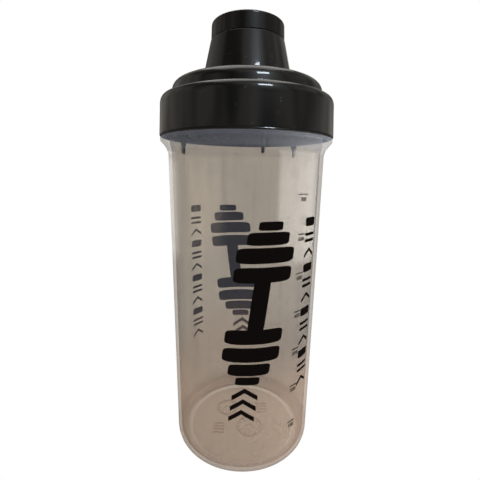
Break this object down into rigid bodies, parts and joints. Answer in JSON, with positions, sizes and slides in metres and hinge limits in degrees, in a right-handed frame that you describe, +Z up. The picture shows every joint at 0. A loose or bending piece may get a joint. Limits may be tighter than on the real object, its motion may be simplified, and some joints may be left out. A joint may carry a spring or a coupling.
{
  "type": "protein shaker bottle",
  "caption": "Tall tapered translucent shaker cup with a black screw lid, a conical drinking spout under a short screw cap, and a loose strainer in the neck.",
  "frame": {"origin": "centre of the foot, on the surface that the bottle stands on", "axes": "+Z up along the bottle's axis, the printed front faces -Y, +X to the right of the front"},
  "size_m": [0.0946, 0.0946, 0.2343],
  "materials": {
    "clear_plastic": "translucent polypropylene, satin outside, slightly hazy",
    "black_plastic": "glossy black moulded plastic with fine handling scuffs",
    "silicone": "matte pale grey silicone",
    "print_ink": "black screen print on the outside of the cup"
  },
  "bodies": {
    "cup": {"cup": "clear_plastic"},
    "strainer": {"strainer": "black_plastic"},
    "lid_carrier": {"lid_gasket": "silicone"},
    "lid": {"lid": "black_plastic"},
    "cap_carrier": {"cap_gasket": "silicone"},
    "spout_cap": {"spout_cap": "black_plastic"}
  },
  "joints": [
    {"name": "lid_rise", "type": "slide", "parent": "cup", "child": "lid_carrier", "axis": [0, 0, 1], "range_m": [0, 0.009]},
    {"name": "lid_turn", "type": "hinge", "parent": "lid_carrier", "child": "lid", "pos_m": [0, 0, 0.185], "axis": [0, 0, 1], "range_deg": [0, 540]},
    {"name": "cap_rise", "type": "slide", "parent": "lid", "child": "cap_carrier", "axis": [0, 0, 1], "range_m": [0, 0.002]},
    {"name": "cap_turn", "type": "hinge", "parent": "cap_carrier", "child": "spout_cap", "pos_m": [0, 0, 0.229], "axis": [0, 0, 1], "range_deg": [0, 300]},
    {"name": "strainer_lift", "type": "slide", "parent": "cup", "child": "strainer", "axis": [0, 0, 1], "range_m": [0, 0.005]}
  ],
  "couplings": [
    {"joint": "lid_rise", "follows": "lid_turn", "m_per_rad": 0.00095492},
    {"joint": "strainer_lift", "follows": "lid_turn", "m_per_rad": 0.00053051},
    {"joint": "cap_rise", "follows": "cap_turn", "m_per_rad": 0.00038197}
  ]
}
